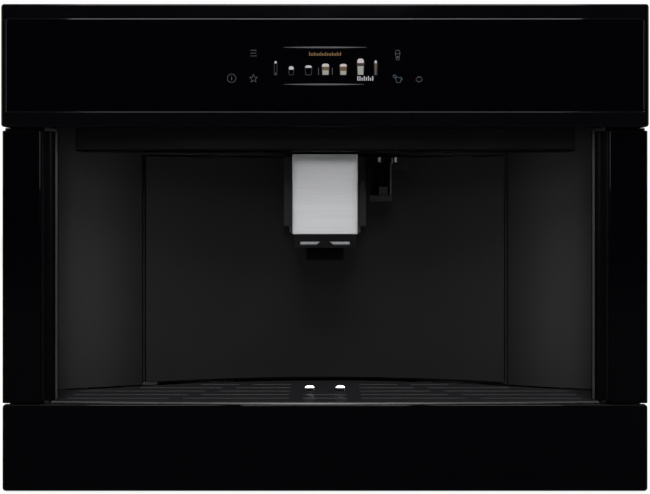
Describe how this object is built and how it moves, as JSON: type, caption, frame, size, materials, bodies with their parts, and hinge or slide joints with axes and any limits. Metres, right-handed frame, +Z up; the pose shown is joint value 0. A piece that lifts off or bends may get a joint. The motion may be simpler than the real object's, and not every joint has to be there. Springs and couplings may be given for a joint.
{
  "type": "built-in coffee machine",
  "caption": "Built-in coffee machine with a glass front, a concave cup niche, a height-adjustable spout on a swinging service door, a drip drawer and side runners.",
  "frame": {"origin": "centre of the footprint, on the surface that the feet stand on", "axes": "+Z up, the glass front faces -Y, +X is the viewer's right"},
  "size_m": [0.596, 0.413, 0.4508],
  "materials": {
    "black_glass": "polished black glass, opaque from behind",
    "gloss_black": "gloss moulded plastic",
    "satin_black": "satin moulded plastic",
    "mat_black": "mat moulded plastic",
    "brushed_steel": "horizontally brushed stainless steel",
    "zinc_sheet": "zinc-coated sheet steel",
    "polished_steel": "polished",
    "clear_plastic": "smoked clear plastic",
    "white_light": "milky light lens",
    "grey_plastic": "glass-filled moulded plastic",
    "circuit_board": "solder-masked board",
    "cast_aluminium": "die cast",
    "display_glass": "colour display behind glass"
  },
  "bodies": {
    "cabinet_runners": {"runner_cabinet_left": "polished_steel", "runner_cabinet_right": "polished_steel"},
    "middle_runners": {"runner_middle_left": "zinc_sheet", "runner_middle_right": "zinc_sheet"},
    "machine": {"control_bezel": "gloss_black", "control_glass": "black_glass", "display_module": "display_glass", "control_board": "circuit_board", "front_frame": "mat_black", "side_glass_left": "black_glass", "side_glass_right": "black_glass", "post_left": "satin_black", "post_right": "satin_black", "niche_wing_left": "satin_black", "niche_wing_right": "satin_black", "niche_roof": "mat_black", "hood_bar": "gloss_black", "door_frame": "mat_black", "hinge_pin_top": "polished_steel", "hinge_pin_bottom": "polished_steel", "base_pan": "zinc_sheet", "side_panel_left": "zinc_sheet", "side_panel_right": "zinc_sheet", "rear_panel": "zinc_sheet", "top_panel": "zinc_sheet", "inner_deck": "zinc_sheet", "grinder_motor": "grey_plastic", "grinder_housing": "grey_plastic", "bean_hopper": "clear_plastic", "tank_shelf": "grey_plastic", "brew_unit": "grey_plastic", "brew_motor": "cast_aluminium", "thermoblock": "cast_aluminium", "water_pump": "grey_plastic", "power_board": "circuit_board", "mains_inlet": "mat_black"},
    "door": {"service_door": "satin_black", "spout_guide": "satin_black", "water_connector": "mat_black"},
    "coffee_spout": {"spout_cover": "brushed_steel", "spout_carriage": "mat_black", "spout_light_left": "white_light", "spout_light_right": "white_light", "spout_base": "gloss_black", "coffee_nozzle": "mat_black"},
    "water_outlet": {"hot_water_spout": "gloss_black", "outlet_collar": "polished_steel"},
    "drip_drawer": {"lower_panel": "black_glass", "drawer_front": "mat_black", "drip_tray": "gloss_black", "grounds_container": "grey_plastic"},
    "grille": {"cup_grille": "gloss_black", "drain_rim_left": "polished_steel", "drain_rim_right": "polished_steel"},
    "tank": {"water_tank": "clear_plastic"},
    "tank_cover": {"tank_lid": "mat_black"},
    "hopper_cover": {"hopper_lid": "clear_plastic"},
    "burr": {"burr_cone": "polished_steel"},
    "rocker": {"power_switch": "mat_black"}
  },
  "joints": [
    {"name": "pull_out", "type": "slide", "parent": "cabinet_runners", "child": "machine", "axis": [0, -1, 0], "range_m": [0, 0.34]},
    {"name": "runner_extension", "type": "slide", "parent": "cabinet_runners", "child": "middle_runners", "axis": [0, -1, 0], "range_m": [0, 0.17]},
    {"name": "door_hinge", "type": "hinge", "parent": "machine", "child": "door", "pos_m": [-0.1762, -0.10093, 0.2], "axis": [0, 0, 1], "range_deg": [-90, 0]},
    {"name": "spout_height", "type": "slide", "parent": "door", "child": "coffee_spout", "axis": [0, 0, 1], "range_m": [-0.05, 0]},
    {"name": "water_outlet_pull", "type": "slide", "parent": "door", "child": "water_outlet", "axis": [0, -1, 0], "range_m": [0, 0.03]},
    {"name": "drawer_slide", "type": "slide", "parent": "machine", "child": "drip_drawer", "axis": [0, -1, 0], "range_m": [0, 0.2]},
    {"name": "grille_lift", "type": "slide", "parent": "drip_drawer", "child": "grille", "axis": [0, 0, 1], "range_m": [0, 0.04]},
    {"name": "tank_lift", "type": "slide", "parent": "machine", "child": "tank", "axis": [0, 0, 1], "range_m": [0, 0.2]},
    {"name": "tank_lid_hinge", "type": "hinge", "parent": "tank", "child": "tank_cover", "pos_m": [0.21, 0.1941, 0.4436], "axis": [-1, 0, 0], "range_deg": [0, 95]},
    {"name": "hopper_lid_hinge", "type": "hinge", "parent": "machine", "child": "hopper_cover", "pos_m": [-0.175, 0.1311, 0.4436], "axis": [-1, 0, 0], "range_deg": [0, 95]},
    {"name": "burr_spin", "type": "hinge", "parent": "machine", "child": "burr", "pos_m": [-0.175, 0.0631, 0.25], "axis": [0, 0, 1], "continuous": true},
    {"name": "power_rocker", "type": "hinge", "parent": "machine", "child": "rocker", "pos_m": [-0.18, 0.1965, 0.06], "axis": [1, 0, 0], "range_deg": [-6, 6]}
  ],
  "couplings": [
    {"joint": "runner_extension", "follows": "pull_out", "ratio": 0.5}
  ]
}
